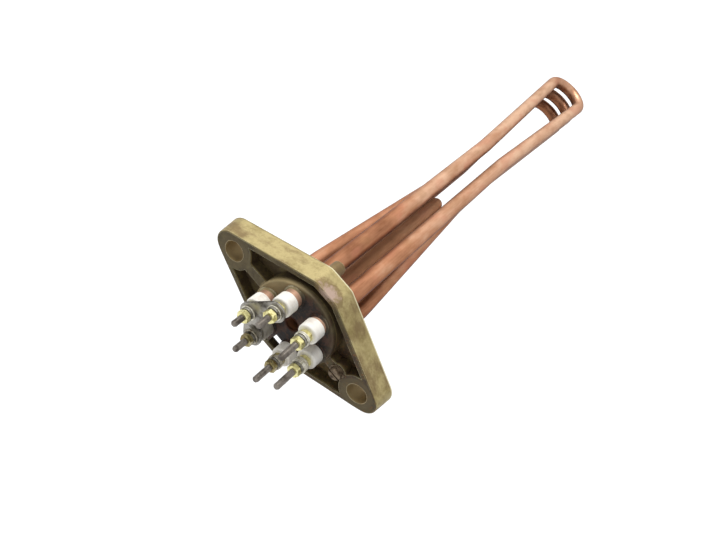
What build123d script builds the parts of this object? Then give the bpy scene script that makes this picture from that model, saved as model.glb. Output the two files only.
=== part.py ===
from build123d import *
import math
import os
from typing import NamedTuple

# A three-circuit immersion heating element on a cast two-bolt flange, in millimetres.
# The origin is the centre of the flange's sealing face. +Y runs into the boiler, +X along the
# flange's long axis and +Z towards its locating peg. A height is measured from the sealing face
# outward, along -Y, so what lies inside the boiler has a negative height.

# Casting
bolt_spacing = 80.0
bolt_hole_r = 5.0
flange_height = 11.0
flange_half_width = 27.5
flange_facet_half = 6.3
flange_corner_r = 6.0
tip_centre_x = 44.0
tip_r = 7.9
outline_draft = 7.0
rim_width = 2.5
rim_chamfer = 0.5
web_thickness = 5.0
recess_draft = 2.0
boss_r = 9.2
rib_width = 5.0
rib_fusion = 1.0
hub_r = 20.9
hub_proud = 2.0
hub_draft = 1.0
hub_edge_r = 0.8
peg_r = 3.3
peg_length = 10.0
peg_x = -5.0
peg_z = 21.0
peg_chamfer = 0.6
drain_width = 4.4
drain_x = 0.5
drain_head_z = -12.8
drain_foot_z = -26.8
drain_lip = 4.3

# Heating tubes: a terminal circle, then three hairpins
terminal_circle_r = 15.0
sheath_od = 8.5
sheath_wall = 0.8
braze_gap = 0.05
cold_pin_end = 18.0
straight_past_pins = 6.0
leg_corner_r = 110.0
waist_start = 137.0
waist_end = 190.0
outer_waist_x = 8.0
inner_waist_x = 8.3
bend_start = 337.2
bend_half_width = 13.8
bend_level = 11.6
coil_od = 3.6

# Pocket for the thermostat's bulb
pocket_od = 7.4
pocket_bore_r = 3.1
pocket_depth = 128.0
pocket_end_wall = 1.0

# Terminals
stud_d = 3.0
stud_chamfer = 0.4
stud_clearance = 0.1
bush_head_od = 9.5
bush_head_length = 5.8
bush_edge_r = 0.9
bush_spigot_length = 5.0
bush_clearance = 0.1
nut_flats = 5.5
nut_height = 2.4
washer_od = 7.0
washer_thickness = 0.8
spring_washer_od = 6.2
spring_washer_thickness = 1.2
spring_washer_gap = 0.8
spring_washer_turn = 35.0
link_width = 9.4
link_thickness = 1.0
link_joggle_length = 5.4

# Heights of the six bushes' fronts, and the thread left past each outer nut
bush_front_1 = 22.9
bush_front_2 = 22.9
bush_front_3 = 20.1
bush_front_4 = 21.4
bush_front_5 = 19.5
bush_front_6 = 19.9
thread_past_1 = 5.4
thread_past_2 = 6.5
thread_past_3 = 6.8
thread_past_4 = 9.8
thread_past_5 = 9.6
thread_past_6 = 11.0

# Earth screw on the rib
earth_x = 27.6
earth_pad_r = 4.0
earth_shank_r = 2.0
earth_shank_length = 7.0
earth_head_r = 3.0
earth_head_height = 2.2
earth_head_edge_r = 0.6
earth_slot_width = 0.9
earth_slot_depth = 1.0
earth_washer_r = 3.6
earth_washer_thickness = 0.6


class Terminal(NamedTuple):
    """One terminal: its angle round the hub from +X towards +Z, and its heights."""

    angle: float
    bush_front: float
    washers: int
    linked: bool
    thread_past: float


class Hairpin(NamedTuple):
    """One heating tube: its two terminals by number and where its legs run."""

    name: str
    right: int
    left: int
    waist_x: float
    waist_from: float
    end_z: float


terminals = {
    1: Terminal(180.0, bush_front_1, 1, True, thread_past_1),
    2: Terminal(120.0, bush_front_2, 1, True, thread_past_2),
    3: Terminal(240.0, bush_front_3, 1, True, thread_past_3),
    4: Terminal(60.0, bush_front_4, 2, False, thread_past_4),
    5: Terminal(300.0, bush_front_5, 2, False, thread_past_5),
    6: Terminal(0.0, bush_front_6, 4, False, thread_past_6),
}
hairpins = [
    Hairpin("upper", 4, 2, outer_waist_x, waist_end, bend_level),
    Hairpin("middle", 6, 1, inner_waist_x, waist_start, 0.0),
    Hairpin("lower", 5, 3, outer_waist_x, waist_end, -bend_level),
]

hub_height = flange_height + hub_proud
straight_end = cold_pin_end + straight_past_pins
recess_depth = flange_height - web_thickness
sheath_r = sheath_od / 2
sheath_bore_r = sheath_r - sheath_wall
stud_r = stud_d / 2
stud_hole_r = stud_r + stud_clearance
tip_distance = math.hypot(tip_centre_x - flange_facet_half, flange_half_width)
side_angle = math.atan2(flange_half_width, tip_centre_x - flange_facet_half)
side_angle -= math.asin(tip_r / tip_distance)
front_inset = flange_height * math.tan(math.radians(outline_draft))


def level(height):
    """The plane at a height above the sealing face, facing outward."""
    return Plane.XZ.offset(height)


def foot(terminal):
    """Where a terminal's axis crosses the planes across the element, as (x, z)."""
    angle = math.radians(terminal.angle)
    return terminal_circle_r * math.cos(angle), terminal_circle_r * math.sin(angle)


def flange_outline(inset):
    """The rhombic outline with its clipped short corners, drawn inset by a distance."""
    facet_half = flange_facet_half - inset * math.tan(side_angle / 2)
    with BuildSketch() as outline:
        with Locations((tip_centre_x, 0), (-tip_centre_x, 0)):
            Circle(tip_r - inset)
        Rectangle(2 * facet_half, 2 * (flange_half_width - inset))
        make_hull()
        corners = outline.vertices().group_by(Axis.Y)
        fillet(corners[0] + corners[-1], radius=max(flange_corner_r - inset, 0.5))
    return outline.sketch


def leg_points(hairpin, side, end_height):
    """The corner points of one leg, from its end at the terminal to the far bend."""
    terminal = terminals[hairpin.right if side > 0 else hairpin.left]
    foot_x, foot_z = foot(terminal)
    slope = (hairpin.end_z - foot_z) / (bend_start - straight_end)
    points = [Vector(foot_x, -end_height, foot_z), Vector(foot_x, straight_end, foot_z)]
    if hairpin.waist_from < waist_end:
        z = foot_z + slope * (hairpin.waist_from - straight_end)
        points.append(Vector(side * hairpin.waist_x, hairpin.waist_from, z))
    z = foot_z + slope * (waist_end - straight_end)
    points.append(Vector(side * hairpin.waist_x, waist_end, z))
    points.append(Vector(side * bend_half_width, bend_start, hairpin.end_z))
    return points


def draw_run(points):
    """Straight lines through the points, with a wide tangent arc at each corner."""
    start = points[0]
    for before, corner, after in zip(points, points[1:], points[2:]):
        inward = (corner - before).normalized()
        outward = (after - corner).normalized()
        reach = leg_corner_r * math.tan(math.radians(inward.get_angle(outward)) / 2)
        Line(start, corner - inward * reach)
        start = corner + outward * reach
        TangentArc(corner - inward * reach, start, tangent=inward)
    return Line(start, points[-1])


def draw_hairpin(hairpin, right_height, left_height):
    """The centre line between two heights, and the plane across it at its right end."""
    right = leg_points(hairpin, 1, right_height)
    left = leg_points(hairpin, -1, left_height)
    leg = draw_run(right)
    TangentArc(right[-1], left[-1], tangent=leg % 1)
    draw_run(left[::-1])
    return Plane(origin=right[0], x_dir=(1, 0, 0), z_dir=(0, 1, 0))


def sheath_end(terminal):
    """The height of the tube's rim, where the ceramic bush's head sits."""
    return terminal.bush_front - bush_head_length


def plate_height(terminal):
    """The height of the inner nut's face, where the link plate or the washers start."""
    return terminal.bush_front + nut_height


def washers_start(terminal):
    """The height at which a terminal's flat washers start."""
    return plate_height(terminal) + (link_thickness if terminal.linked else 0.0)


def washers_end(terminal):
    """The height at which a terminal's flat washers end and its spring washer starts."""
    return washers_start(terminal) + terminal.washers * washer_thickness


def outer_nut_start(terminal):
    """The height at which a terminal's spring washer ends and its outer nut starts."""
    return washers_end(terminal) + spring_washer_thickness


def stud_tip(terminal):
    """The height of a terminal stud's tip."""
    return outer_nut_start(terminal) + nut_height + terminal.thread_past


os.makedirs("parts", exist_ok=True)

# Flange: a drafted rhombus with a recessed front, its hub, bosses, ribs and locating peg
with BuildPart() as flange:
    with BuildSketch(level(0)):
        add(flange_outline(0.0))
    extrude(amount=flange_height, taper=outline_draft)
    chamfer(flange.faces().sort_by(Axis.Y)[0].edges(), length=rim_chamfer)
    with BuildSketch(level(flange_height)):
        add(flange_outline(front_inset + rim_width))
    extrude(amount=-recess_depth, taper=recess_draft, mode=Mode.SUBTRACT)
    with BuildSketch(level(web_thickness)):
        with Locations((bolt_spacing / 2, 0), (-bolt_spacing / 2, 0)):
            Circle(boss_r)
        Rectangle(bolt_spacing, rib_width)
        with Locations((earth_x, 0)):
            Circle(earth_pad_r)
        add(flange_outline(front_inset + rim_width - rib_fusion), mode=Mode.INTERSECT)
    extrude(amount=recess_depth)
    with BuildSketch(level(hub_height)):
        Circle(hub_r)
    extrude(amount=-hub_height, taper=-hub_draft)
    fillet(flange.faces().sort_by(Axis.Y)[0].outer_wire().edges(), radius=hub_edge_r)
    with BuildSketch(level(0)):
        with Locations((peg_x, peg_z)):
            Circle(peg_r)
    extrude(amount=-peg_length)
    chamfer(flange.faces().sort_by(Axis.Y)[-1].edges(), length=peg_chamfer)
    with BuildSketch(level(0)):
        with Locations((bolt_spacing / 2, 0), (-bolt_spacing / 2, 0)):
            Circle(bolt_hole_r)
        Circle(pocket_od / 2 + braze_gap)
        with PolarLocations(terminal_circle_r, len(terminals)):
            Circle(sheath_r + braze_gap)
    extrude(amount=hub_height, mode=Mode.SUBTRACT)
    with BuildSketch(level(flange_height)):
        with Locations((earth_x, 0)):
            Circle(earth_shank_r + braze_gap)
    extrude(amount=-earth_shank_length, mode=Mode.SUBTRACT)
    with BuildSketch(Plane.YZ.offset(drain_x)):
        rim_inner_z = front_inset + rim_width - flange_half_width
        lip_y = drain_lip - flange_height
        Polygon(
            (-hub_height, drain_head_z),
            (0, drain_foot_z),
            (0, -flange_half_width),
            (lip_y, -flange_half_width),
            (lip_y, rim_inner_z),
            (-hub_height, rim_inner_z),
            align=None,
        )
    extrude(amount=drain_width / 2, both=True, mode=Mode.SUBTRACT)
flange.part.label = "flange"
export_step(flange.part, "parts/flange.step")

# Heating tubes: sheath, packed oxide and coil follow one centre line
for hairpin in hairpins:
    right_terminal = terminals[hairpin.right]
    left_terminal = terminals[hairpin.left]

    with BuildPart() as sheath:
        with BuildLine():
            section_plane = draw_hairpin(hairpin, sheath_end(right_terminal), sheath_end(left_terminal))
        with BuildSketch(section_plane):
            Circle(sheath_r)
            Circle(sheath_bore_r, mode=Mode.SUBTRACT)
        sweep()
    sheath.part.label = f"sheath_{hairpin.name}"
    export_step(sheath.part, f"parts/{sheath.part.label}.step")

    with BuildPart() as coil:
        with BuildLine():
            section_plane = draw_hairpin(hairpin, -cold_pin_end, -cold_pin_end)
        with BuildSketch(section_plane):
            Circle(coil_od / 2)
        sweep()
    coil.part.label = f"coil_{hairpin.name}"
    export_step(coil.part, f"parts/{coil.part.label}.step")

    with BuildPart() as magnesia:
        with BuildLine():
            section_plane = draw_hairpin(hairpin, -cold_pin_end, -cold_pin_end)
        with BuildSketch(section_plane):
            Circle(sheath_bore_r)
            Circle(coil_od / 2, mode=Mode.SUBTRACT)
        sweep()
        for terminal in (right_terminal, left_terminal):
            with BuildSketch(level(-cold_pin_end)):
                with Locations(foot(terminal)):
                    Circle(sheath_bore_r)
                    Circle(stud_r, mode=Mode.SUBTRACT)
            extrude(amount=cold_pin_end + sheath_end(terminal) - bush_spigot_length)
    magnesia.part.label = f"magnesia_{hairpin.name}"
    export_step(magnesia.part, f"parts/{magnesia.part.label}.step")

# Pocket: a thin tube with a domed end, brazed through the middle of the hub
with BuildPart() as bulb_pocket:
    with BuildSketch(Plane.YZ):
        with BuildLine():
            inner_end = pocket_depth - pocket_end_wall - pocket_bore_r
            outer_end = pocket_depth - pocket_od / 2
            Line((-hub_height, pocket_bore_r), (-hub_height, pocket_od / 2))
            Line((-hub_height, pocket_od / 2), (outer_end, pocket_od / 2))
            RadiusArc((outer_end, pocket_od / 2), (pocket_depth, 0), pocket_od / 2)
            Line((pocket_depth, 0), (pocket_depth - pocket_end_wall, 0))
            RadiusArc((pocket_depth - pocket_end_wall, 0), (inner_end, pocket_bore_r), -pocket_bore_r)
            Line((inner_end, pocket_bore_r), (-hub_height, pocket_bore_r))
        make_face()
    revolve(axis=Axis.Y)
bulb_pocket.part.label = "bulb_pocket"
export_step(bulb_pocket.part, "parts/bulb_pocket.step")

# Terminal studs, each with the cold pin that carries the current into the tube
for number, terminal in terminals.items():
    with BuildPart() as stud:
        with BuildSketch(level(-cold_pin_end)):
            with Locations(foot(terminal)):
                Circle(stud_r)
        extrude(amount=cold_pin_end + stud_tip(terminal))
        chamfer(stud.faces().sort_by(Axis.Y)[0].edges(), length=stud_chamfer)
    stud.part.label = f"terminal_stud_{number}"
    export_step(stud.part, f"parts/{stud.part.label}.step")

    with BuildPart() as bush:
        with BuildSketch(level(sheath_end(terminal) - bush_spigot_length)):
            with Locations(foot(terminal)):
                Circle(sheath_bore_r - bush_clearance)
        extrude(amount=bush_spigot_length)
        with BuildSketch(level(sheath_end(terminal))):
            with Locations(foot(terminal)):
                Circle(bush_head_od / 2)
        extrude(amount=bush_head_length)
        fillet(bush.faces().sort_by(Axis.Y)[0].edges(), radius=bush_edge_r)
        with BuildSketch(level(terminal.bush_front)):
            with Locations(foot(terminal)):
                Circle(stud_hole_r)
        extrude(amount=-bush_head_length - bush_spigot_length, mode=Mode.SUBTRACT)
    bush.part.label = f"ceramic_bush_{number}"
    export_step(bush.part, f"parts/{bush.part.label}.step")

# Hex nuts under and over each washer stack
nut_starts = {
    "inner_nuts": [terminal.bush_front for terminal in terminals.values()],
    "outer_nuts": [outer_nut_start(terminal) for terminal in terminals.values()],
}
for name, starts in nut_starts.items():
    with BuildPart() as nuts:
        for terminal, start in zip(terminals.values(), starts):
            with BuildSketch(level(start)):
                with Locations(foot(terminal)):
                    RegularPolygon(nut_flats / 2, 6, major_radius=False)
                    Circle(stud_r, mode=Mode.SUBTRACT)
            extrude(amount=nut_height)
    nuts.part.label = name
    export_step(nuts.part, f"parts/{name}.step")

# Flat washers, one or more on each stud
with BuildPart() as flat_washers:
    for terminal in terminals.values():
        with BuildSketch(level(washers_start(terminal))):
            with Locations(foot(terminal)):
                Circle(washer_od / 2)
                Circle(stud_hole_r, mode=Mode.SUBTRACT)
        extrude(amount=terminal.washers * washer_thickness)
flat_washers.part.label = "flat_washers"
export_step(flat_washers.part, "parts/flat_washers.step")

# Split spring washers under the outer nuts
with BuildPart() as spring_washers:
    for terminal in terminals.values():
        with BuildSketch(level(washers_end(terminal))):
            with Locations(foot(terminal)):
                Circle(spring_washer_od / 2)
                Circle(stud_hole_r, mode=Mode.SUBTRACT)
            with Locations(Location(foot(terminal), spring_washer_turn)):
                Rectangle(
                    spring_washer_od,
                    spring_washer_gap,
                    align=(Align.MIN, Align.CENTER),
                    mode=Mode.SUBTRACT,
                )
        extrude(amount=spring_washer_thickness)
spring_washers.part.label = "spring_washers"
export_step(spring_washers.part, "parts/spring_washers.step")

# Link plate: a flat arm joins terminals 1 and 2, and a joggled one steps down to terminal 3
link_pivot = foot(terminals[1])
link_low_end = foot(terminals[3])
low_arm_x = Vector(link_low_end[0] - link_pivot[0], 0, link_low_end[1] - link_pivot[1])
low_arm_plane = Plane(
    origin=(link_pivot[0], 0, link_pivot[1]),
    x_dir=low_arm_x,
    z_dir=low_arm_x.cross(Vector(0, -1, 0)),
)
with BuildPart() as link_plate:
    for terminal in (terminals[1], terminals[2], terminals[3]):
        with BuildSketch(level(plate_height(terminal))):
            with Locations(foot(terminal)):
                Circle(link_width / 2)
        extrude(amount=link_thickness)
    with BuildSketch(level(plate_height(terminals[1]))):
        with BuildLine():
            Line(foot(terminals[1]), foot(terminals[2]))
        trace(line_width=link_width)
    extrude(amount=link_thickness)
    with BuildSketch(low_arm_plane):
        with BuildLine():
            arm_length = low_arm_x.length
            joggle_start = (arm_length - link_joggle_length) / 2
            Polyline(
                (0, plate_height(terminals[1])),
                (joggle_start, plate_height(terminals[1])),
                (arm_length - joggle_start, plate_height(terminals[3])),
                (arm_length, plate_height(terminals[3])),
            )
            offset(amount=link_thickness, side=Side.LEFT)
        make_face()
    extrude(amount=link_width / 2, both=True)
    for terminal in (terminals[1], terminals[2], terminals[3]):
        with BuildSketch(level(plate_height(terminal))):
            with Locations(foot(terminal)):
                Circle(stud_hole_r)
        extrude(amount=link_thickness, mode=Mode.SUBTRACT)
link_plate.part.label = "link_plate"
export_step(link_plate.part, "parts/link_plate.step")

# Earth screw and its washer on the rib
with BuildPart() as earth_washer:
    with BuildSketch(level(flange_height)):
        with Locations((earth_x, 0)):
            Circle(earth_washer_r)
            Circle(earth_shank_r + stud_clearance, mode=Mode.SUBTRACT)
    extrude(amount=earth_washer_thickness)
earth_washer.part.label = "earth_washer"
export_step(earth_washer.part, "parts/earth_washer.step")

earth_head_start = flange_height + earth_washer_thickness
with BuildPart() as earth_screw:
    with BuildSketch(level(earth_head_start)):
        with Locations((earth_x, 0)):
            Circle(earth_head_r)
    extrude(amount=earth_head_height)
    fillet(earth_screw.faces().sort_by(Axis.Y)[0].edges(), radius=earth_head_edge_r)
    with BuildSketch(level(earth_head_start)):
        with Locations((earth_x, 0)):
            Circle(earth_shank_r)
    extrude(amount=-earth_shank_length - earth_washer_thickness)
    with BuildSketch(level(earth_head_start + earth_head_height)):
        with Locations((earth_x, 0)):
            Rectangle(2 * earth_head_r, earth_slot_width)
    extrude(amount=-earth_slot_depth, mode=Mode.SUBTRACT)
earth_screw.part.label = "earth_screw"
export_step(earth_screw.part, "parts/earth_screw.step")
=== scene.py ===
"""Dresses the immersion heater: cast flange, copper hairpins, ceramic terminals, studio and camera.

Lengths are in millimetres up to the point where a mesh, lamp or camera is made. The frame's +Y
runs into the boiler, +X along the flange's long axis and +Z towards the locating peg. A height
is measured outward from the flange's sealing face, along -Y.
"""

from __future__ import annotations

import logging
import math
from dataclasses import dataclass, field
from enum import Enum
from typing import Any, Callable, Sequence

import bmesh
import bpy
from bpy.types import Material, Node, NodeSocket, Object, World
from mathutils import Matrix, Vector


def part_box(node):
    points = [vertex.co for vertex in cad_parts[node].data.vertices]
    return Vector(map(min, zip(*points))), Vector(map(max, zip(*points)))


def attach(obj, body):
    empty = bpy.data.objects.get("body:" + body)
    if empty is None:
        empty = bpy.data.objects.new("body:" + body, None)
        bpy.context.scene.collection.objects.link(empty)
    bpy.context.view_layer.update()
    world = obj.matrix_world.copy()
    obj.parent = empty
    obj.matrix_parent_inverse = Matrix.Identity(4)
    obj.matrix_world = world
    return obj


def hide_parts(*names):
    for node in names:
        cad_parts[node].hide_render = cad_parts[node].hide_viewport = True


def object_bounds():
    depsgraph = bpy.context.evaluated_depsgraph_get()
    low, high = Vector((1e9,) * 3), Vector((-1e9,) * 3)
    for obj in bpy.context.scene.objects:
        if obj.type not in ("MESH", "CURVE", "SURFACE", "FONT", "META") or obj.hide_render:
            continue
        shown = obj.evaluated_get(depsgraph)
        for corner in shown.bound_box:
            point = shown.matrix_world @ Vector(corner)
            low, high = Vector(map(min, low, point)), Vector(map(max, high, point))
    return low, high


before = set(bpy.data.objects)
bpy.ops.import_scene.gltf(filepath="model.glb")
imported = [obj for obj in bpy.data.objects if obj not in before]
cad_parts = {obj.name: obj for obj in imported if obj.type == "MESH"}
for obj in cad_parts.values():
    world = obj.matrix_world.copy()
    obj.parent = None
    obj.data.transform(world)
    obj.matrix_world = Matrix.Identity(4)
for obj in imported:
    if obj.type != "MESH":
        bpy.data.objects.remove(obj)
CAD_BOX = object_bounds()

MM = 0.001
BODY = "root"
LOG = logging.getLogger("heater")

DISPLAY_WHITE = 255
DISPLAY_OFFSET = 0.055
DISPLAY_POWER = 2.4
SHARP_CORNER_DEG = 40.0
NODE_PREFIX = "ShaderNode"

Point = tuple[float, float, float]
Colour = tuple[float, float, float]
Span = tuple[float, float]
Sockets = dict[str | int, Any]


def tint(red: int, green: int, blue: int) -> Colour:
    """The linear colour that shaders take, from display values of 0 to 255."""
    shares = (value / DISPLAY_WHITE for value in (red, green, blue))
    return tuple(((s + DISPLAY_OFFSET) / (1 + DISPLAY_OFFSET)) ** DISPLAY_POWER for s in shares)


def add_object(name: str, data: Any) -> Object:
    """Makes an object and puts it in the scene.

    Args:
        name: Its name.
        data: Its mesh, lamp or camera.

    Returns:
        The object.
    """
    made = bpy.data.objects.new(name, data)
    bpy.context.scene.collection.objects.link(made)
    return made


class Number:
    """A number that varies over a surface: one output socket, with arithmetic."""

    def __init__(self, sheet: ShaderSheet, socket: NodeSocket) -> None:
        """Wraps a node's output on its sheet."""
        self.sheet = sheet
        self.socket = socket

    def _math(self, operation: str, *values: Number | float) -> Number:
        """Adds a Math node, with its operation by Blender's name and its inputs in order."""
        return self.sheet.number("Math", dict(enumerate(values)), operation=operation)

    def __add__(self, other: Number | float) -> Number:
        """Adds a number."""
        return self._math("ADD", self, other)

    __radd__ = __add__

    def __sub__(self, other: Number | float) -> Number:
        """Takes a number away."""
        return self._math("SUBTRACT", self, other)

    def __rsub__(self, other: float) -> Number:
        """Takes this number away from another."""
        return self._math("SUBTRACT", other, self)

    def __mul__(self, other: Number | float) -> Number:
        """Multiplies by a number."""
        return self._math("MULTIPLY", self, other)

    __rmul__ = __mul__

    def __pow__(self, power: float) -> Number:
        """Raises to a power."""
        return self._math("POWER", self, power)

    def __abs__(self) -> Number:
        """The size without its sign."""
        return self._math("ABSOLUTE", self)

    def smaller(self, other: Number | float) -> Number:
        """The smaller of two numbers."""
        return self._math("MINIMUM", self, other)

    def larger(self, other: Number | float) -> Number:
        """The larger of two numbers."""
        return self._math("MAXIMUM", self, other)

    def rise(self, start: float, end: float) -> Number:
        """A smooth step from 0 at start to 1 at end, either way round."""
        sockets = {"Value": self, "From Min": start, "From Max": end, "To Min": 0.0, "To Max": 1.0}
        return self.sheet.number("MapRange", sockets, interpolation_type="SMOOTHSTEP")

    def cover(self, least: float, swing: float) -> Number:
        """How much of a layer shows, up to 1: the least anywhere, plus what this noise adds."""
        return (self * swing + least).smaller(1.0)


def weighted(shares: Sequence[float], parts: Sequence[Number | float]) -> Any:
    """Adds parts up, each times its share."""
    return sum(part * share for part, share in zip(parts, shares))


@dataclass(frozen=True)
class Grain:
    """The make-up of a cloudy noise: cloud size in millimetres, octaves, stretch and roughness."""

    size: float
    detail: float = 3.0
    stretch: Point = (1.0, 1.0, 1.0)
    roughness: float = 0.55


@dataclass(frozen=True)
class Layer:
    """A colour laid over another with a strength, where its guide rises through a span."""

    colour: Colour
    share: float
    span: Span


class ShaderSheet:
    """One material or world being drawn: adds nodes and hands back their sockets."""

    mix_factor = 0
    mix_below = 6
    mix_above = 7
    mix_result = 2
    edge_likeness = (0.985, 0.86)
    edge_samples = 6
    relief_samples = 4
    hollow_samples = 8

    def __init__(self, owner: Material | World) -> None:
        """Starts an empty sheet.

        Args:
            owner: The material or world that it draws.
        """
        self.owner = owner
        self.owner.use_nodes = True
        self.owner.node_tree.nodes.clear()

    @classmethod
    def for_material(cls, name: str) -> ShaderSheet:
        """Starts a new material's sheet."""
        return cls(bpy.data.materials.new(name))

    def node(self, kind: str, sockets: Sockets | None = None, **settings: Any) -> Node:
        """Adds one node.

        Args:
            kind: Blender's type name of the node, after its prefix.
            sockets: Values or links for its inputs, by name or place.
            settings: Its own properties, which are set first.

        Returns:
            The node.
        """
        made = self.owner.node_tree.nodes.new(NODE_PREFIX + kind)
        for key, value in settings.items():
            setattr(made, key, value)
        for key, value in (sockets or {}).items():
            source = value.socket if isinstance(value, Number) else value
            if isinstance(source, NodeSocket):
                self.owner.node_tree.links.new(source, made.inputs[key])
            else:
                made.inputs[key].default_value = self._fitted(made.inputs[key], source)
        return made

    def number(self, kind: str, sockets: Sockets, output: int | str = 0, **settings: Any) -> Number:
        """Adds one node and hands back one of its outputs as a number."""
        return Number(self, self.node(kind, sockets, **settings).outputs[output])

    @staticmethod
    def _fitted(target: NodeSocket, value: Any) -> Any:
        """Gives a colour its fourth number where the socket is a colour."""
        lacks_alpha = target.type == "RGBA" and len(value) == 3
        return (*value, 1.0) if lacks_alpha else value

    def place(self) -> NodeSocket:
        """The surface's own place in the frame, in millimetres."""
        source = self.node("TexCoord").outputs["Object"]
        return self.scaled(source, (1 / MM,) * 3)

    def scaled(self, vector: NodeSocket, factors: Point) -> NodeSocket:
        """Multiplies a vector part by part."""
        return self.node("VectorMath", {0: vector, 1: factors}, operation="MULTIPLY").outputs[0]

    def parts(self, vector: NodeSocket) -> tuple[Number, Number, Number]:
        """Splits a vector into its three numbers."""
        outputs = self.node("SeparateXYZ", {0: vector}).outputs
        return tuple(Number(self, output) for output in outputs)

    def noise(self, place: NodeSocket, grain: Grain) -> Number:
        """Cloudy noise from 0 to 1.

        Args:
            place: The place to read it at, in millimetres.
            grain: Its make-up.

        Returns:
            The noise.
        """
        stretched = self.scaled(place, tuple(1 / (grain.size * part) for part in grain.stretch))
        sockets = {"Vector": stretched, "Scale": 1.0, "Detail": grain.detail, "Roughness": grain.roughness}
        return self.number("TexNoise", sockets)

    def noises(self, place: NodeSocket, grains: Sequence[Grain]) -> list[Number]:
        """One noise for each grain."""
        return [self.noise(place, grain) for grain in grains]

    def cells(self, place: NodeSocket, spacing: float) -> Number:
        """The distance to the nearest of scattered points, in spacings, for pits."""
        sockets = {"Vector": self.scaled(place, (1 / spacing,) * 3), "Scale": 1.0}
        return self.number("TexVoronoi", sockets)

    def ramp(self, factor: Number, places: Sequence[float], colours: Sequence[Colour]) -> NodeSocket:
        """Looks a number up in a row of colours.

        Args:
            factor: The number.
            places: Where the colours stand, from 0 to 1.
            colours: The colours, in order.

        Returns:
            The colour.
        """
        made = self.node("ValToRGB", {0: factor})
        stops = made.color_ramp.elements
        while len(stops) < len(places):
            stops.new(0.5)
        for stop, place, colour in zip(stops, places, colours):
            stop.position = place
            stop.color = (*colour, 1.0)
        return made.outputs[0]

    def mix(self, factor: Number, below: Any, above: Any) -> NodeSocket:
        """Mixes two colours, values or sockets: 0 gives the one below, 1 the one above."""
        sockets = {self.mix_factor: factor, self.mix_below: below, self.mix_above: above}
        return self.node("Mix", sockets, data_type="RGBA").outputs[self.mix_result]

    def lay(self, body: Any, layer: Layer, guide: Number, mask: Number | float = 1.0) -> NodeSocket:
        """Lays a layer over a colour, as its guide rises through its span and its mask allows."""
        return self.mix(guide.rise(*layer.span) * mask * layer.share, body, layer.colour)

    def edges(self, reach: float) -> Number:
        """Finds sharp edges: 0 on flat ground, up to 1 within a reach of an edge in millimetres."""
        sockets = {0: self._rounded_normal(reach, self.edge_samples), 1: self._flat_normal()}
        return self.number("VectorMath", sockets, "Value", operation="DOT_PRODUCT").rise(*self.edge_likeness)

    def hollows(self, reach: float) -> Number:
        """Finds crowded corners, where painted shade goes: 0 in the open, 1 deep between pieces within reach,
        in millimetres.
        """
        sockets = {"Distance": reach * MM, "Normal": self._flat_normal()}
        return 1.0 - self.number("AmbientOcclusion", sockets, "AO", samples=self.hollow_samples)

    def _flat_normal(self) -> NodeSocket:
        """The face's own normal, before any smoothing."""
        return self.node("NewGeometry").outputs["True Normal"]

    def _rounded_normal(self, rounding: float, samples: int) -> NodeSocket:
        """The normal with sharp edges rounded to a radius in millimetres."""
        return self.node("Bevel", {"Radius": rounding * MM}, samples=samples).outputs[0]

    def upward(self) -> Number:
        """How far the surface faces the locating peg's side, -1 to 1, which sets painted shade on faces
        turned downward.
        """
        normal = self.node("NewGeometry").outputs["Normal"]
        return self.parts(normal)[2]

    def shows_background(self) -> Number:
        """Tells the rays that look straight at the background or reflect it.

        Returns:
            1 for those rays, otherwise 0.
        """
        outputs = self.node("LightPath").outputs
        rays = [Number(self, outputs[f"Is {kind} Ray"]) for kind in ("Camera", "Glossy", "Transmission")]
        return rays[0].larger(rays[1]).larger(rays[2])

    def relief(self, height: Number, depth: float, rounding: float = 0.0) -> NodeSocket:
        """A bumped normal.

        Args:
            height: The relief, 0 to 1.
            depth: How deep a step of 1 is, in millimetres.
            rounding: The radius that sharp edges seem to have, in millimetres.

        Returns:
            The normal.
        """
        sockets: Sockets = {"Height": height, "Distance": depth * MM}
        if rounding:
            sockets["Normal"] = self._rounded_normal(rounding, self.relief_samples)
        return self.node("Bump", sockets).outputs[0]

    def finish(self, sockets: Sockets) -> Material:
        """Closes the sheet with the surface shader, and hands back the material."""
        self.node("OutputMaterial", {"Surface": self.node("BsdfPrincipled", sockets).outputs[0]})
        return self.owner


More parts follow.
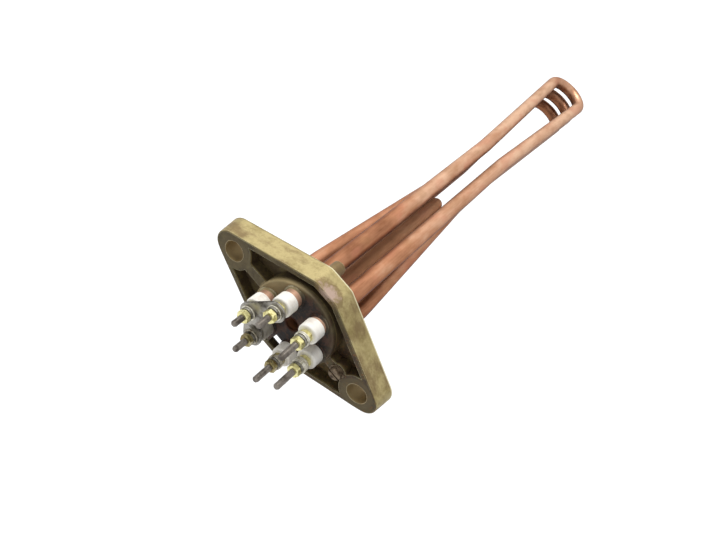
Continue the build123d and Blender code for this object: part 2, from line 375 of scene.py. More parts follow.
class CastBrass:
    """Sand-cast brass: olive yellow sides, dark brown in front that is partly oxide and partly painted shade,
    grime and braze burns inside, painted shade in crowded corners, and pale edges that are partly worn and
    partly painted highlight.

    A span runs from where something starts to where it is full, in millimetres or noise values.
    A cover is the least part of a zone that a colour hides, and how much more the noise adds.
    """

    front_span = (10.5, 10.95)
    boss_span = (8.4, 7.4)
    hole_span = (5.35, 5.1)
    rim_span = (24.9, 24.3)
    below_front_span = (10.9, 9.8)
    above_floor_span = (4.5, 4.9)
    hub_height_span = (8.5, 12.4)
    hub_radius_span = (22.1, 21.3)
    burn_radius_span = (21.9, 16.9)
    burnt_span = (-20.0, -6.0)
    burnt_slant = 0.3
    soiled_span = (12.0, 22.0)
    back_edge_span = (0.75, 0.3)
    highlight_corner_span = (-14.0, -4.0)
    side_angle_deg = 26.4
    bolt_x = 40.0
    grains = (Grain(15.0, 4.0), Grain(4.5, 4.0), Grain(1.3), Grain(22.0, 5.0, (1.0, 0.6, 1.0), 0.65))
    sand_grain = Grain(0.45)
    pit_spacing = 1.2
    olive = tint(138, 122, 74)
    pale = tint(180, 164, 114)
    tone_places = (0.36, 0.54, 0.72)
    tone_shares = (0.75, 0.25)
    smear_tone = tint(118, 96, 60)
    grime_and_shade_brown = tint(54, 35, 18)
    grime_olive = tint(88, 74, 38)
    bare_and_highlight = tint(236, 228, 190)
    smear = Layer(smear_tone, 0.8, (0.47, 0.63))
    edge_shares = (0.8, 0.6)
    front_oxide_and_shade = tint(67, 56, 30)
    front_oxide_and_shade_cover = (0.6, 0.6)
    boss_tan = tint(93, 80, 50)
    boss_cover = (0.35, 0.4)
    hole_tan = tint(156, 134, 94)
    hole_cover = (0.5, 0.6)
    grime_light = Layer(grime_olive, 1.0, (0.44, 0.62))
    grime_cover = (0.62, 0.5)
    rust = Layer(tint(124, 82, 40), 0.7, (0.52, 0.68))
    front_grime_share = 0.8
    front_grime_span = (0.32, 0.56)
    spared_share = 0.7
    machined = Layer(tint(196, 172, 112), 1.0, (0.06, 0.0))
    peg_smear = Layer(smear_tone, 1.0, (-0.2, -0.6))
    peg_cover = (0.65, 0.6)
    hub_tan = tint(166, 147, 104)
    hub_cover = (0.6, 0.4)
    scale_grey = tint(22, 14, 11)
    scaled_off = Layer(tint(66, 42, 29), 1.0, (0.45, 0.57))
    flake_shares = (0.6, 0.4)
    burn_shares = (0.75, 0.6)
    burn_least = 0.12
    worn_corner = (0.8, -9.0, 26.2)
    worn_stretch = (0.6, 1.0, 1.0)
    worn_ragged = (6.0, 3.0)
    worn_border = Layer(smear_tone, 0.7, (5.6, 3.4))
    worn_pink = Layer(tint(186, 160, 148), 0.75, (3.4, 1.6))
    hollow_reach = 7.0
    corner_shade = Layer(grime_and_shade_brown, 0.6, (0.25, 0.95))
    pale_edge_reach = 0.5
    pale_edge_span = (0.34, 0.58)
    pale_edge_shares = (0.85, -0.35)
    pit_span = (0.36, 0.10)
    relief_shares = (0.6, 0.6, 0.3, -0.3)
    relief_depth = 0.16
    corner_rounding = 0.45
    metallic = (0.42, -0.22)
    roughness = (0.46, 0.12, 0.2)

    def __init__(self) -> None:
        """Reads the surface's zones and noises."""
        self.sheet = sheet = ShaderSheet.for_material("cast_brass")
        self.place = sheet.place()
        self.x, y, self.z = sheet.parts(self.place)
        self.height = 0.0 - y
        self.radius = (self.x * self.x + self.z * self.z) ** 0.5
        self.clouds, self.blots, self.fine, self.smears = sheet.noises(self.place, self.grains)
        self.front = self.height.rise(*self.front_span)
        off_bolt = self._off_bolt()
        self.on_boss = off_bolt.rise(*self.boss_span)
        self.in_hole = off_bolt.rise(*self.hole_span)
        self.inside = self._in_recess() * (1.0 - self.in_hole)
        self.browned = self.x.rise(*self.soiled_span)
        self.burnt_side = (self.x - self.z * self.burnt_slant).rise(*self.burnt_span)
        self.on_hub = self.height.rise(*self.hub_height_span) * self.radius.rise(*self.hub_radius_span)
        self.body: Any = None

    def build(self) -> Material:
        """Draws the material.

        Returns:
            The material.
        """
        self._sides()
        self._front()
        self._recess()
        self.lay_where(self.machined, self.height)
        self.lay_where(self.peg_smear, self.height, self.blots.cover(*self.peg_cover))
        burn = self._hub()
        self._worn_corner()
        self._corner_shade_and_edges(burn)
        dulled = self.front.larger(self.inside).larger(burn)
        return self.sheet.finish({
            "Base Color": self.body,
            "Metallic": weighted(self.metallic, (1.0, dulled)),
            "Roughness": weighted(self.roughness, (1.0, dulled, self.fine)),
            "Normal": self.sheet.relief(self._relief(), self.relief_depth, self.corner_rounding),
        })

    def _sides(self) -> None:
        """The cast sides: two tones, smears, and the edge next to the boiler, with a painted highlight near
        the upper corner and darker olive along the rest.
        """
        tone = weighted(self.tone_shares, (self.clouds, self.fine))
        self.body = self.sheet.ramp(tone, self.tone_places, (self.olive, self.pale, self.olive))
        self.lay_where(self.smear, self.smears)
        on_edge = self.height.rise(*self.back_edge_span)
        near_corner = self.x.rise(*self.highlight_corner_span)
        highlight_share, darker_share = self.edge_shares
        # Painted highlight: the back edge near the upper corner turns near white, as though catching the
        # light.
        self.lay(on_edge * near_corner * highlight_share, self.bare_and_highlight)
        self.lay(on_edge * (1.0 - near_corner) * darker_share, self.grime_olive)

    def _front(self) -> None:
        """The dark brown in front, partly oxide and partly painted shade of faces turned from the light, then
        the bosses and the walls of the bolt holes.
        """
        # Partly oxide, partly painted shade: front faces turned from the light are darkened.
        self.lay(self.front * self.blots.cover(*self.front_oxide_and_shade_cover), self.front_oxide_and_shade)
        self.lay(self.front * self.on_boss * self.fine.cover(*self.boss_cover), self.boss_tan)
        self.lay(self.in_hole * self.blots.cover(*self.hole_cover), self.hole_tan)

    def _recess(self) -> None:
        """Grime in the recess, rusty at its soiled end, where it also runs over the front."""
        sheet = self.sheet
        tone = sheet.lay(self.grime_and_shade_brown, self.grime_light, self.blots)
        tone = sheet.lay(tone, self.rust, self.fine, self.browned)
        self.lay(self.inside * self.clouds.cover(*self.grime_cover), tone)
        runs = self.smears.rise(*self.front_grime_span) * self.front_grime_share
        self.lay(self.front * self.browned * (1.0 - self.on_boss * self.spared_share) * runs, tone)

    def _hub(self) -> Number:
        """The hub: tan on one side, burnt black and brown by the brazing on the other.

        Returns:
            How far it is burnt.
        """
        tan = self.on_hub * (1.0 - self.burnt_side) * self.blots.cover(*self.hub_cover)
        self.lay(tan, self.hub_tan)
        by_radius, by_blots = self.burn_shares
        burn = self.radius.rise(*self.burn_radius_span) * by_radius + self.blots * by_blots
        by_side = self.burn_least + self.burnt_side * (1.0 - self.burn_least)
        burn = self.on_hub * burn.smaller(1.0) * by_side
        flakes = weighted(self.flake_shares, (self.blots, self.fine))
        self.lay(burn, self.sheet.lay(self.scale_grey, self.scaled_off, flakes))
        return burn

    def _worn_corner(self) -> None:
        """The pink patch knocked bare at the upper corner, with a soiled border."""
        sheet = self.sheet
        centre = tuple(part * factor for part, factor in zip(self.worn_corner, self.worn_stretch))
        sockets = {0: sheet.scaled(self.place, self.worn_stretch), 1: centre}
        offset = sheet.number("VectorMath", sockets, "Value", operation="DISTANCE")
        by_blots, by_fine = self.worn_ragged
        ragged = offset + (self.blots - 0.5) * by_blots + (self.fine - 0.5) * by_fine
        self.lay_where(self.worn_border, ragged)
        self.lay_where(self.worn_pink, ragged)

    def _corner_shade_and_edges(self, burn: Number) -> None:
        """Painted shade in crowded corners, and pale sharp edges, partly bare metal and partly painted
        highlight.

        Args:
            burn: How far the brazing has burnt it.
        """
        open_to_shade = 1.0 - self.in_hole * self.spared_share
        # Painted shade: dark brown in crowded corners, from ambient occlusion, kept out of the bolt holes.
        self.lay_where(self.corner_shade, self.sheet.hollows(self.hollow_reach), open_to_shade)
        # Pale sharp edges, fewer in front: partly bare metal worn through, partly painted highlight.
        pale_edges = self.sheet.edges(self.pale_edge_reach) * self.blots.rise(*self.pale_edge_span)
        pale_edges = pale_edges * (1.0 - self.inside) * (1.0 - burn)
        self.lay(pale_edges * weighted(self.pale_edge_shares, (1.0, self.front)), self.bare_and_highlight)

    def _relief(self) -> Number:
        """The cast skin: coarse and fine blots, sand and small pits.

        Returns:
            The relief.
        """
        sand = self.sheet.noise(self.place, self.sand_grain)
        pits = self.sheet.cells(self.place, self.pit_spacing).rise(*self.pit_span)
        return weighted(self.relief_shares, (self.fine, self.blots, sand, pits))

    def _off_bolt(self) -> Number:
        """The distance from the nearer bolt hole's axis."""
        off_centre = abs(self.x) - self.bolt_x
        return (off_centre * off_centre + self.z * self.z) ** 0.5

    def _in_recess(self) -> Number:
        """Finds the recess: within the rim, and between the floor and the front.

        Returns:
            1 in it, and 0 elsewhere.
        """
        angle = math.radians(self.side_angle_deg)
        across = abs(self.x) * math.sin(angle) + abs(self.z) * math.cos(angle)
        within_rim = across.larger(abs(self.z)).rise(*self.rim_span)
        below_front = self.height.rise(*self.below_front_span)
        return within_rim * below_front * self.height.rise(*self.above_floor_span)

    def lay(self, cover: Number, colour: Any) -> None:
        """Mixes a colour over the colour so far."""
        self.body = self.sheet.mix(cover, self.body, colour)

    def lay_where(self, layer: Layer, guide: Number, mask: Number | float = 1.0) -> None:
        """Lays one layer over the colour so far, where its guide shows it."""
        self.body = self.sheet.lay(self.body, layer, guide, mask)


@dataclass(frozen=True)
class DrawnCopper:
    """Drawn copper tube: satin, streaked along its length, duller and burnt towards the flange.

    Spans along the tube are in millimetres from the sealing face.
    """

    name: str
    stub: Colour
    bright: Colour = tint(242, 200, 168)
    warm: Colour = tint(194, 138, 104)
    tarnish_and_shade: Colour = tint(142, 94, 66)
    tone_places = (0.32, 0.48, 0.70)
    grains = (
        Grain(20.0, 3.0, (1.0, 3.2, 1.0)), Grain(0.7, 2.0, (1.0, 34.0, 1.0)),
        Grain(5.0, 3.0, (1.0, 2.6, 1.0)), Grain(9.0, 2.0, (1.0, 2.4, 1.0)),
    )
    tone_shares = (-0.03, 0.5, 0.10, 0.28, 0.26)
    far_lighter_span = (0.0, 230.0)
    rosy = Layer(tint(216, 144, 116), 0.36, (0.53, 0.68))
    bronze = Layer(tint(160, 118, 78), 0.26, (0.47, 0.34))
    underside_shade = Layer(tint(112, 70, 46), 0.88, (0.66, -0.10))
    bend_span = (324.0, 346.0)
    bend_share = 0.45
    lower_bend_span = (7.0, 2.0)
    lower_bend_shade = 0.35
    gap_shade = tint(66, 34, 20)
    gap_reach = 9.0
    gap_span = (0.30, 0.90)
    gap_share: float = 0.85
    heat_dark = tint(118, 76, 54)
    heat_span = (16.0, 0.0)
    heat_cover = (0.2, 0.9)
    heat_share = 0.7
    stub_span = (-11.0, -13.0)
    stub_share = 0.9
    metallic: float = 0.62
    roughness: float = 0.32
    roughness_shares = (0.14, 0.12)
    edge = tint(74, 38, 24)
    edge_level = 0.25
    relief_shares = (0.4, 0.6)
    relief_depth = 0.04

    def build(self) -> Material:
        """Draws the material.

        Returns:
            The material.
        """
        sheet = ShaderSheet.for_material(self.name)
        place = sheet.place()
        _, y, z = sheet.parts(place)
        patches, streaks, smudges, hues = sheet.noises(place, self.grains)
        # The tone grows lighter further from the flange.
        tone = weighted(self.tone_shares, (1.0, patches, streaks, smudges, y.rise(*self.far_lighter_span)))
        body = sheet.ramp(tone, self.tone_places, (self.tarnish_and_shade, self.warm, self.bright))
        body = sheet.lay(body, self.rosy, hues)
        body = sheet.lay(body, self.bronze, hues)
        # Painted shade: darker brown on faces turned downward, away from the peg's side.
        body = sheet.lay(body, self.underside_shade, sheet.upward())
        # The bends darken towards the darkest copper tone: partly oxide from bending, partly painted shade,
        # with more painted shade on the middle and lower bends.
        lower = z.rise(*self.lower_bend_span) * self.lower_bend_shade
        body = sheet.mix(y.rise(*self.bend_span) * (self.bend_share + lower), body, self.tarnish_and_shade)
        # Painted shade: dark brown between crowded tubes, from ambient occlusion.
        body = sheet.lay(body, Layer(self.gap_shade, self.gap_share, self.gap_span), sheet.hollows(self.gap_reach))
        heated = y.rise(*self.heat_span) * patches.cover(*self.heat_cover)
        body = sheet.mix(heated * self.heat_share, body, self.heat_dark)
        body = sheet.lay(body, Layer(self.stub, self.stub_share, self.stub_span), y)
        skin = weighted(self.relief_shares, (streaks, smudges))
        return sheet.finish({
            "Base Color": body,
            "Metallic": self.metallic,
            "Roughness": weighted(self.roughness_shares, (smudges, heated)) + self.roughness,
            "Specular Tint": self.edge,
            "Specular IOR Level": self.edge_level,
            "Normal": sheet.relief(skin, self.relief_depth),
        })


class FiredCeramic:
    """Unglazed white ceramic with handling stains, and painted shadow on the third and sixth bushes."""

    white = tint(251, 247, 237)
    stain = Layer(tint(198, 178, 160), 0.55, (0.48, 0.78))
    painted_shadow = tint(88, 77, 56)
    painted_shadow_cover = (0.6, 0.6)
    painted_shadowed_bushes = (((2.0, -5.0), (-4.0, -10.0), 0.9), ((9.0, 15.0), (5.0, -3.0), 0.6))
    grains = (Grain(5.0, 4.0), Grain(0.35, 2.0))
    roughness = 0.55
    roughness_fine = 0.15
    relief_blotches = 0.5
    relief_depth = 0.02
    corner_rounding = 0.15

    def build(self) -> Material:
        """Draws the material.

        Returns:
            The material.
        """
        sheet = ShaderSheet.for_material("fired_ceramic")
        place = sheet.place()
        blotches, fine = sheet.noises(place, self.grains)
        x, _, z = sheet.parts(place)
        # Painted shadow: the third and sixth bushes are darkened where the stacks above shade them.
        marks = [x.rise(*along) * z.rise(*across) * share for along, across, share in self.painted_shadowed_bushes]
        painted_shadowed = marks[0].larger(marks[1]) * blotches.cover(*self.painted_shadow_cover)
        body = sheet.lay(self.white, self.stain, blotches)
        skin = fine + blotches * self.relief_blotches
        return sheet.finish({
            "Base Color": sheet.mix(painted_shadowed, body, self.painted_shadow),
            "Roughness": self.roughness + fine * self.roughness_fine,
            "Normal": sheet.relief(skin, self.relief_depth, self.corner_rounding),
        })


@dataclass(frozen=True)
class PlatedSteel:
    """Plated steel for small fasteners: a bright coat, dull where it is stained, darker and browner low down.
    """

    name: str
    bright: Colour
    stained: Colour
    metallic: float = 0.7
    roughness: float = 0.30
    cloud_size: float = 1.6
    low_tone = tint(104, 82, 48)
    low_darkening: float = 0.0
    low_span = (-5.0, -11.0)
    low_tone_cover = (0.5, 0.8)
    stain_span = (0.42, 0.70)
    scratch_grain = Grain(0.25, 2.0, (1.0, 6.0, 1.0))
    roughness_clouds = 0.2
    relief_depth = 0.012
    corner_rounding = 0.08

    def build(self) -> Material:
        """Draws the material.

        Returns:
            The material.
        """
        sheet = ShaderSheet.for_material(self.name)
        place = sheet.place()
        clouds = sheet.noise(place, Grain(self.cloud_size, 4.0))
        scratches = sheet.noise(place, self.scratch_grain)
        body = sheet.mix(clouds.rise(*self.stain_span), self.bright, self.stained)
        # Darker and browner towards the lower terminals, set by height alone.
        browned = sheet.parts(place)[2].rise(*self.low_span) * self.low_darkening
        return sheet.finish({
            "Base Color": sheet.mix(browned * clouds.cover(*self.low_tone_cover), body, self.low_tone),
            "Metallic": self.metallic,
            "Roughness": self.roughness + clouds * self.roughness_clouds,
            "Normal": sheet.relief(scratches, self.relief_depth, self.corner_rounding),
        })


@dataclass(frozen=True)
class PackedPowder:
    """The inside of a tube, never seen: packed oxide, or dull wire."""

    name: str
    colour: Colour
    metallic: float = 0.0
    grain = Grain(0.6)
    shade = 0.7
    shade_share = 0.3
    roughness = 0.7
    roughness_grain = 0.2

    def build(self) -> Material:
        """Draws the material.

        Returns:
            The material.
        """
        sheet = ShaderSheet.for_material(self.name)
        grain = sheet.noise(sheet.place(), self.grain)
        shaded = tuple(part * self.shade for part in self.colour)
        return sheet.finish({
            "Base Color": sheet.mix(grain * self.shade_share, self.colour, shaded),
            "Metallic": self.metallic,
            "Roughness": self.roughness + grain * self.roughness_grain,
        })


class Slot(Enum):
    """The record's finishes, by the name of their material slot."""

    CAST_BRASS = "cast_brass"
    COPPER_TUBE = "copper_tube"
    RESISTANCE_WIRE = "resistance_wire"
    PACKED_OXIDE = "packed_oxide"
    POCKET_TUBE = "pocket_tube"
    STUD_STEEL = "stud_steel"
    WHITE_CERAMIC = "white_ceramic"
    YELLOW_NUT = "yellow_nut"
    PLAIN_WASHER = "plain_washer"
    SPRING_STEEL = "spring_steel"
    LINK_ZINC = "link_zinc"
    EARTH_STEEL = "earth_steel"


class FinishShelf:
    """Every finish, built once and handed out by slot."""

    def __init__(self) -> None:
        """Builds the finishes."""
        finishes = {
            Slot.CAST_BRASS: CastBrass(),
            Slot.COPPER_TUBE: DrawnCopper("copper_tube", tint(208, 168, 142)),
            Slot.POCKET_TUBE: DrawnCopper(
                "pocket_tube", tint(60, 38, 32), bright=tint(238, 188, 148),
                warm=tint(208, 152, 112), tarnish_and_shade=tint(160, 110, 76), gap_share=0.5,
                metallic=0.2, roughness=0.55),
            Slot.RESISTANCE_WIRE: PackedPowder("resistance_wire", tint(150, 148, 144), 0.8),
            Slot.PACKED_OXIDE: PackedPowder("packed_oxide", tint(225, 222, 214)),
            Slot.WHITE_CERAMIC: FiredCeramic(),
            Slot.STUD_STEEL: PlatedSteel(
                "stud_steel", tint(126, 119, 111), tint(76, 69, 62), metallic=0.9,
                roughness=0.28, cloud_size=4.0),
            Slot.YELLOW_NUT: PlatedSteel(
                "yellow_nut", tint(242, 235, 172), tint(178, 164, 98), roughness=0.22,
                low_darkening=0.8),
            Slot.PLAIN_WASHER: PlatedSteel(
                "plain_washer", tint(226, 222, 206), tint(164, 156, 130), roughness=0.26,
                low_darkening=0.5),
            Slot.SPRING_STEEL: PlatedSteel("spring_steel", tint(160, 156, 146), tint(96, 92, 84)),
            Slot.LINK_ZINC: PlatedSteel(
                "link_zinc", tint(158, 154, 146), tint(72, 68, 62), metallic=0.85,
                roughness=0.24, cloud_size=4.5),
            Slot.EARTH_STEEL: PlatedSteel(
                "earth_steel", tint(122, 106, 86), tint(62, 46, 30), roughness=0.5),
        }
        self.materials = {slot: finish.build() for slot, finish in finishes.items()}

    def dress(self, target: Object, slot: Slot) -> None:
        """Gives an object one finish in all its material slots.

        Args:
            target: The object.
            slot: The finish.
        """
        material = self.materials[slot]
        if not target.material_slots:
            target.data.materials.append(material)
        for material_slot in target.material_slots:
            material_slot.material = material

    def dress_node(self, name: str, slot: Slot) -> None:
        """Gives a CAD node its finish."""
        self.dress(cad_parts[name], slot)

    def place(self, solid: Solid, name: str, slot: Slot, stands_for: str = "", smooth: bool = True) -> None:
        """Turns a mesh into a dressed piece on the body.

        Args:
            solid: The mesh.
            name: The piece's name.
            slot: Its finish.
            stands_for: The CAD node that it replaces, if any.
            smooth: Whether it shades smoothly.
        """
        piece = solid.to_object(name, smooth)
        self.dress(piece, slot)
        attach(piece, BODY)
        if stands_for:
            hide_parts(stands_for)
        LOG.info("%s: %d faces", name, len(piece.data.polygons))


@dataclass
class Solid:
    """A mesh being built: corner points in millimetres, and faces."""

    points: list[Point] = field(default_factory=list)
    faces: list[tuple[int, ...]] = field(default_factory=list)

    def add_rings(self, rings: Sequence[Sequence[Point]], closed_ends: bool) -> None:
        """Joins rings of equally many points into a skin.

        Args:
            rings: The rings in order.
            closed_ends: Whether the first and last rings are capped; otherwise they are joined.
        """
        start = len(self.points)
        count = len(rings[0])
        for ring in rings:
            self.points.extend(ring)
        steps = len(rings) - 1 if closed_ends else len(rings)
        for i in range(steps):
            this, following = start + i * count, start + (i + 1) % len(rings) * count
            for j in range(count):
                k = (j + 1) % count
                self.faces.append((this + j, this + k, following + k, following + j))
        if closed_ends:
            last = start + (len(rings) - 1) * count
            self.faces.append(tuple(reversed(range(start, start + count))))
            self.faces.append(tuple(range(last, last + count)))

    def to_object(self, name: str, smooth: bool) -> Object:
        """Makes the Blender object, in metres.

        Args:
            name: The object's name.
            smooth: Whether its faces shade smoothly, apart from sharp corners.

        Returns:
            The object.
        """
        mesh = bpy.data.meshes.new(name)
        mesh.from_pydata([Vector(p) * MM for p in self.points], [], self.faces)
        mesh.validate()
        skin = bmesh.new()
        skin.from_mesh(mesh)
        bmesh.ops.recalc_face_normals(skin, faces=skin.faces)
        skin.to_mesh(mesh)
        skin.free()
        if smooth:
            mesh.shade_smooth()
            mesh.set_sharp_from_angle(angle=math.radians(SHARP_CORNER_DEG))
        return add_object(name, mesh)


@dataclass(frozen=True)
class Post:
    """A terminal's axis: its place across the element."""

    x: float
    z: float

    def at(self, height: float, radius: float, angle: float) -> Point:
        """The point at a height, a distance from the axis and an angle round it."""
        return self.x + radius * math.cos(angle), -height, self.z + radius * math.sin(angle)

    def ring(self, height: float, radius: float | Callable[[float], float], segments: int) -> list[Point]:
        """One ring of points round the axis, with one radius or one for each angle."""
        angles = [2 * math.pi * i / segments for i in range(segments)]
        return [self.at(height, radius(a) if callable(radius) else radius, a) for a in angles]

    def rings(self, profile: Sequence[Span], segments: int) -> list[list[Point]]:
        """A profile, as pairs of radius and height, turned round the axis."""
        return [self.ring(height, radius, segments) for radius, height in profile]


@dataclass
class Terminal:
    """What stands on one post, as heights above the sealing face."""

    number: int
    washers: int
    linked: bool
    post: Post = field(init=False)
    stud_tip: float = field(init=False)
    pin_end: float = field(init=False)
    bush_front: float = field(init=False)

    def __post_init__(self) -> None:
        """Reads the post's place and heights from the frame."""
        stud_low, stud_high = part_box(f"terminal_stud_{self.number}")
        bush_low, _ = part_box(f"ceramic_bush_{self.number}")
        centre = (stud_low + stud_high) / 2
        self.post = Post(centre.x / MM, centre.z / MM)
        self.stud_tip = -stud_low.y / MM
        self.pin_end = -stud_high.y / MM
        self.bush_front = -bush_low.y / MM


@dataclass
class TerminalStacks:
    """Nuts, washers and threaded studs on the six posts."""

    shelf: FinishShelf
    nut_flats = 5.3
    nut_turns_deg = (4.0, -9.0, 12.0, -6.0, 8.0, -12.0)
    nut_height = 2.4
    nut_chamfer_slope = 0.5
    nut_chamfer_start = 0.05
    nut_face_share = 0.97
    nut_bore_r = 1.5
    nut_segments = 72
    washer_od = 7.0
    washer_thickness = 0.8
    washer_edge = 0.12
    washer_play = 0.03
    washer_segments = 48
    spring_od = 6.2
    spring_height = 1.2
    spring_section = 0.9
    spring_gap_turn = 0.045
    spring_turn_step = 0.17
    spring_segments = 40
    link_thickness = 1.0
    thread_r = 1.5
    thread_depth = 0.2
    thread_pitch = 0.5
    thread_steps = 6
    thread_segments = 24
    tip_taper = 0.4
    hole_r = 1.6
    terminals: list[Terminal] = field(default_factory=lambda: [
        Terminal(1, 1, True), Terminal(2, 1, True), Terminal(3, 1, True),
        Terminal(4, 2, False), Terminal(5, 2, False), Terminal(6, 4, False),
    ])

    def build(self) -> None:
        """Makes and dresses every piece."""
        for terminal in self.terminals:
            self._stud(terminal)
        self._nuts("inner_nut_set", "inner_nuts", lambda terminal: terminal.bush_front)
        self._nuts("outer_nut_set", "outer_nuts",
                   lambda terminal: self._washers_end(terminal) + self.spring_height)
        self._flat_washers()
        self._spring_washers()
        for terminal in self.terminals:
            self.shelf.dress_node(f"ceramic_bush_{terminal.number}", Slot.WHITE_CERAMIC)

    def _washers_start(self, terminal: Terminal) -> float:
        """The height where the flat washers start."""
        return terminal.bush_front + self.nut_height + (self.link_thickness if terminal.linked else 0.0)

    def _washers_end(self, terminal: Terminal) -> float:
        """The height where the flat washers end."""
        return self._washers_start(terminal) + terminal.washers * self.washer_thickness

    def _stud(self, terminal: Terminal) -> None:
        """A stud threaded from the bush to its tip, with its plain cold pin.

        Args:
            terminal: The terminal that it belongs to.
        """
        steps, segments = self.thread_steps, self.thread_segments
        solid = Solid()
        rings = [terminal.post.ring(terminal.pin_end, self.thread_r, segments)]
        threaded = terminal.stud_tip - self.tip_taper - terminal.bush_front
        for i in range(int(threaded / self.thread_pitch * steps) + 1):
            height = terminal.bush_front + i * self.thread_pitch / steps
            rings.append(terminal.post.ring(
                height, lambda a, turns=i / steps: self.thread_r - self.thread_depth * self._groove(turns, a),
                segments))
        rings.append(terminal.post.ring(terminal.stud_tip, self.thread_r - self.tip_taper, segments))
        solid.add_rings(rings, closed_ends=True)
        self.shelf.place(solid, f"threaded_stud_{terminal.number}", Slot.STUD_STEEL,
                         f"terminal_stud_{terminal.number}")

    @staticmethod
    def _groove(turns: float, angle: float) -> float:
        """How deep the thread's groove is, 0 at a crest and 1 at a root."""
        phase = (turns - angle / (2 * math.pi)) % 1.0
        return 1.0 - abs(2.0 * phase - 1.0)

    def _nuts(self, name: str, node: str, start: Callable[[Terminal], float]) -> None:
        """Six hex nuts with chamfered corners.

        Args:
            name: The piece's name.
            node: The CAD node they stand for.
            start: The height where each terminal's nut starts.
        """
        flat_r = self.nut_flats / 2
        inner = [self.nut_bore_r, flat_r * self.nut_face_share]
        angles = [2 * math.pi * i / self.nut_segments for i in range(self.nut_segments)]
        solid = Solid()
        for terminal in self.terminals:
            low, high = start(terminal), start(terminal) + self.nut_height
            turn = math.radians(self.nut_turns_deg[terminal.number - 1])
            side_r = [flat_r / math.cos((a + turn) % (math.pi / 3) - math.pi / 6) for a in angles]
            drops = [max(0.0, r - flat_r) * self.nut_chamfer_slope + self.nut_chamfer_start for r in side_r]
            corners = list(zip(angles, side_r, drops))
            rings = terminal.post.rings([(r, low) for r in inner], self.nut_segments)
            rings.append([terminal.post.at(low + drop, r, a) for a, r, drop in corners])
            rings.append([terminal.post.at(high - drop, r, a) for a, r, drop in corners])
            rings.extend(terminal.post.rings([(r, high) for r in reversed(inner)], self.nut_segments))
            solid.add_rings(rings, closed_ends=False)
        self.shelf.place(solid, name, Slot.YELLOW_NUT, node, smooth=False)

    def _flat_washers(self) -> None:
        """Single washers with rounded edges, stacked on each post."""
        solid = Solid()
        outer, inner, edge = self.washer_od / 2, self.hole_r, self.washer_edge
        for terminal in self.terminals:
            for i in range(terminal.washers):
                low = self._washers_start(terminal) + i * self.washer_thickness + self.washer_play
                high = low + self.washer_thickness - 2 * self.washer_play
                profile = [
                    (inner, low), (outer - edge, low), (outer, low + edge),
                    (outer, high - edge), (outer - edge, high), (inner, high),
                ]
                solid.add_rings(terminal.post.rings(profile, self.washer_segments), closed_ends=False)
        self.shelf.place(solid, "flat_washer_set", Slot.PLAIN_WASHER, "flat_washers")

    def _spring_washers(self) -> None:
        """Split washers that rise a little from one end to the other."""
        solid = Solid()
        inner, outer = self.hole_r, self.spring_od / 2
        rise = self.spring_height - self.spring_section
        for number, terminal in enumerate(self.terminals):
            base = self._washers_end(terminal)
            rings = []
            for i in range(self.spring_segments + 1):
                share = i / self.spring_segments
                turn = self.spring_gap_turn + share * (1 - 2 * self.spring_gap_turn)
                angle = 2 * math.pi * (turn + number * self.spring_turn_step)
                low = base + rise * share
                high = low + self.spring_section
                section = [(inner, low), (outer, low), (outer, high), (inner, high)]
                rings.append([terminal.post.at(h, r, angle) for r, h in section])
            solid.add_rings(rings, closed_ends=True)
        self.shelf.place(solid, "spring_washer_set", Slot.SPRING_STEEL, "spring_washers")


@dataclass
class FlangeCasting:
    """The flange, and the braze that runs out round each tube."""

    shelf: FinishShelf
    hub_front = 13.0
    tube_r = 4.25
    tube_gap = 0.02
    tube_lap = 0.1
    braze_reach = 1.1
    braze_climb = 1.0
    braze_steps = 5
    braze_segments = 48
    two_lobes = 0.18
    five_lobes = 0.10

    def build(self, posts: Sequence[Post]) -> None:
        """Dresses the casting and adds the braze.

        Args:
            posts: The axes of the tubes that are brazed in.
        """
        self.shelf.dress_node("flange", Slot.CAST_BRASS)
        solid = Solid()
        for number, post in enumerate(posts):
            for face, outward in ((self.hub_front, 1.0), (0.0, -1.0)):
                self._fillet(solid, post, face, outward, number)
        self.shelf.place(solid, "braze_fillets", Slot.CAST_BRASS)

    def _fillet(self, solid: Solid, post: Post, face: float, outward: float, number: int) -> None:
        """One uneven hollow fillet between a tube and the hub.

        Args:
            solid: The mesh that takes it.
            post: The tube's axis.
            face: The height of the hub's face.
            outward: 1 for the front face, -1 for the back one.
            number: Which tube, which sets how the braze has run.
        """
        rings = []
        for i in range(self.braze_steps + 1):
            turn = math.pi / 2 * i / self.braze_steps
            height = face + outward * self.braze_climb * (1 - math.cos(turn))
            reach = self.braze_reach * (1 - math.sin(turn))
            rings.append(post.ring(
                height, lambda a, reach=reach: self.tube_r + self.tube_gap + reach * self._spread(a, number),
                self.braze_segments))
        within = self.tube_r - self.tube_lap
        back = [(within, face + outward * self.braze_climb), (within, face)]
        solid.add_rings(rings + post.rings(back, self.braze_segments), closed_ends=False)

    def _spread(self, angle: float, number: int) -> float:
        """How much further than even one tube's braze has run at an angle."""
        lobes = self.two_lobes * math.sin(2 * angle + number)
        return 1 + lobes + self.five_lobes * math.sin(5 * angle + 2 * number)


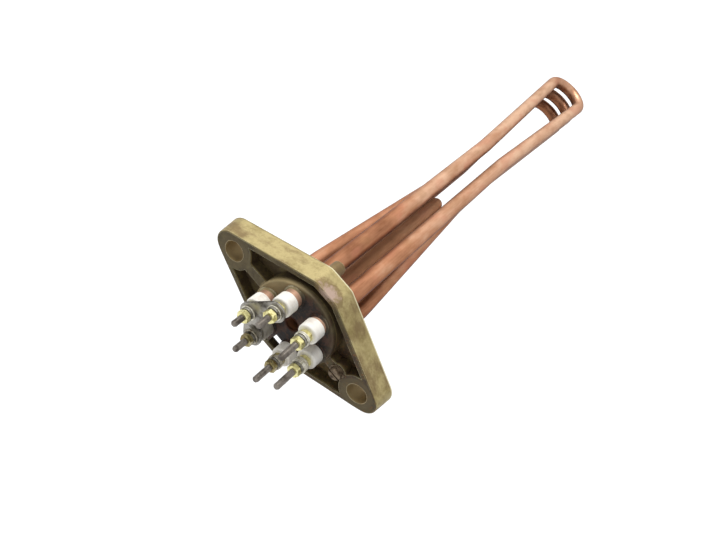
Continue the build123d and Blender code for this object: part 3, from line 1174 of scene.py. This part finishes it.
@dataclass
class HairpinTubes:
    """The heating tubes, what is packed in them, and the bulb pocket."""

    shelf: FinishShelf
    pocket_wall = 0.6
    pocket_end_wall = 1.0
    pocket_segments = 64
    dome_steps = 10
    dome_tip_r = 0.05

    def build(self) -> None:
        """Dresses the tubes and makes the pocket."""
        for place in ("upper", "middle", "lower"):
            self.shelf.dress_node(f"sheath_{place}", Slot.COPPER_TUBE)
            self.shelf.dress_node(f"coil_{place}", Slot.RESISTANCE_WIRE)
            self.shelf.dress_node(f"magnesia_{place}", Slot.PACKED_OXIDE)
        LOG.info("hairpin tubes dressed")
        self._pocket()

    def _pocket(self) -> None:
        """The closed tube for the thermostat's bulb, open at the hub and domed at its far end."""
        low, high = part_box("bulb_pocket")
        outer_r = (high.x - low.x) / 2 / MM
        bore_r = outer_r - self.pocket_wall
        mouth, far_end = -low.y / MM, -high.y / MM
        inner = self._dome(bore_r, far_end + self.pocket_end_wall)
        outer = self._dome(outer_r, far_end)
        profile = [*inner, (bore_r, mouth), (outer_r, mouth), *reversed(outer)]
        solid = Solid()
        solid.add_rings(Post(0.0, 0.0).rings(profile, self.pocket_segments), closed_ends=True)
        self.shelf.place(solid, "bulb_pocket_tube", Slot.POCKET_TUBE, "bulb_pocket")

    def _dome(self, radius: float, end: float) -> list[Span]:
        """A half-round end, as pairs of radius and height from its tip to its rim."""
        turns = [math.pi / 2 * i / self.dome_steps for i in range(self.dome_steps + 1)]
        return [(max(radius * math.sin(t), self.dome_tip_r), end + radius * (1 - math.cos(t))) for t in turns]


@dataclass
class LinkAndEarth:
    """The link plate, and the earth screw with its washer."""

    shelf: FinishShelf

    def build(self) -> None:
        """Dresses the pieces."""
        self.shelf.dress_node("link_plate", Slot.LINK_ZINC)
        self.shelf.dress_node("earth_screw", Slot.EARTH_STEEL)
        self.shelf.dress_node("earth_washer", Slot.EARTH_STEEL)
        LOG.info("link plate and earth screw dressed")


class Studio:
    """A plain pale floor, a wide soft light from above and a pale surround.

    Each lamp has the direction that it shines from, its strength and its spread in degrees.
    """

    floor_drop = 330.0
    floor_half = 5000.0
    floor_colour = (0.9, 0.9, 0.9)
    floor_lift = 0.20
    sky = (0.34, 0.35, 0.37)
    ground = (0.12, 0.12, 0.12)
    backdrop = (1.0, 1.0, 1.0)
    horizon = (-0.4, 0.9)
    lamps = {
        "key_lamp": ((-0.6, 0.1, 1.0), 2.7, 34.0),
        "fill_lamp": ((0.5, -1.0, 0.45), 0.3, 60.0),
    }

    def build(self) -> None:
        """Makes the floor, the lamps and the world."""
        self._floor()
        self._world()
        self._lamps()

    def _floor(self) -> None:
        """A wide pale sheet below the part, lifted to white where nothing shades it."""
        low_z = CAD_BOX[0][2] / MM - self.floor_drop
        h = self.floor_half
        solid = Solid([(-h, -h, low_z), (h, -h, low_z), (h, h, low_z), (-h, h, low_z)], [(0, 1, 2, 3)])
        floor = solid.to_object("studio_floor", smooth=False)
        sheet = ShaderSheet.for_material("studio_floor")
        plain = sheet.node("BsdfDiffuse", {"Color": self.floor_colour})
        lift = sheet.node("Emission", {"Strength": self.floor_lift})
        none = sheet.node("Emission", {"Strength": 0.0})
        seen = self._by_ray(sheet, none, lift)
        both = sheet.node("AddShader", {0: plain.outputs[0], 1: seen})
        sheet.node("OutputMaterial", {"Surface": both.outputs[0]})
        floor.data.materials.append(sheet.owner)

    def _world(self) -> None:
        """A grey surround, lighter above, that shows white where it is seen or reflected."""
        world = bpy.data.worlds.new("studio_world")
        bpy.context.scene.world = world
        sheet = ShaderSheet(world)
        direction = sheet.node("TexCoord").outputs["Generated"]
        _, _, up = sheet.parts(direction)
        tone = sheet.mix(up.rise(*self.horizon), self.ground, self.sky)
        light = sheet.node("Background", {"Color": tone})
        white = sheet.node("Background", {"Color": self.backdrop})
        sheet.node("OutputWorld", {"Surface": self._by_ray(sheet, light, white)})

    @staticmethod
    def _by_ray(sheet: ShaderSheet, lights: Node, shows: Node) -> NodeSocket:
        """Picks one shader to light the part, and another to be seen or reflected."""
        sockets = {0: sheet.shows_background(), 1: lights.outputs[0], 2: shows.outputs[0]}
        return sheet.node("MixShader", sockets).outputs[0]

    def _lamps(self) -> None:
        """Far lamps with soft shadows."""
        for name, (source, strength, spread_deg) in self.lamps.items():
            data = bpy.data.lights.new(name, "SUN")
            data.energy = strength
            data.angle = math.radians(spread_deg)
            lamp = add_object(name, data)
            lamp.rotation_euler = (-Vector(source)).to_track_quat("-Z", "Y").to_euler()


class PhotoCamera:
    """The camera at the photograph's viewpoint: its place in millimetres, the clips in metres."""

    place = (6.06503, -189.55594, 216.07258)
    tilt_deg = (35.10283, -29.91468, 40.97047)
    settings = {
        "sensor_fit": "HORIZONTAL", "sensor_width": 36.0, "lens": 32.90707,
        "shift_x": 0.054756, "shift_y": -0.014060, "clip_start": 0.005, "clip_end": 50.0,
    }

    def build(self) -> None:
        """Makes the camera and hands it to the scene."""
        data = bpy.data.cameras.new("photo_camera")
        for name, value in self.settings.items():
            setattr(data, name, value)
        camera = add_object("photo_camera", data)
        camera.location = Vector(self.place) * MM
        camera.rotation_euler = [math.radians(angle) for angle in self.tilt_deg]
        bpy.context.scene.camera = camera


def main() -> None:
    """Builds the scene in order."""
    logging.basicConfig(level=logging.INFO)
    bpy.context.scene.view_settings.view_transform = "Standard"
    PhotoCamera().build()
    Studio().build()
    shelf = FinishShelf()
    stacks = TerminalStacks(shelf)
    FlangeCasting(shelf).build([terminal.post for terminal in stacks.terminals])
    HairpinTubes(shelf).build()
    stacks.build()
    LinkAndEarth(shelf).build()


if __name__ == "__main__":
    main()
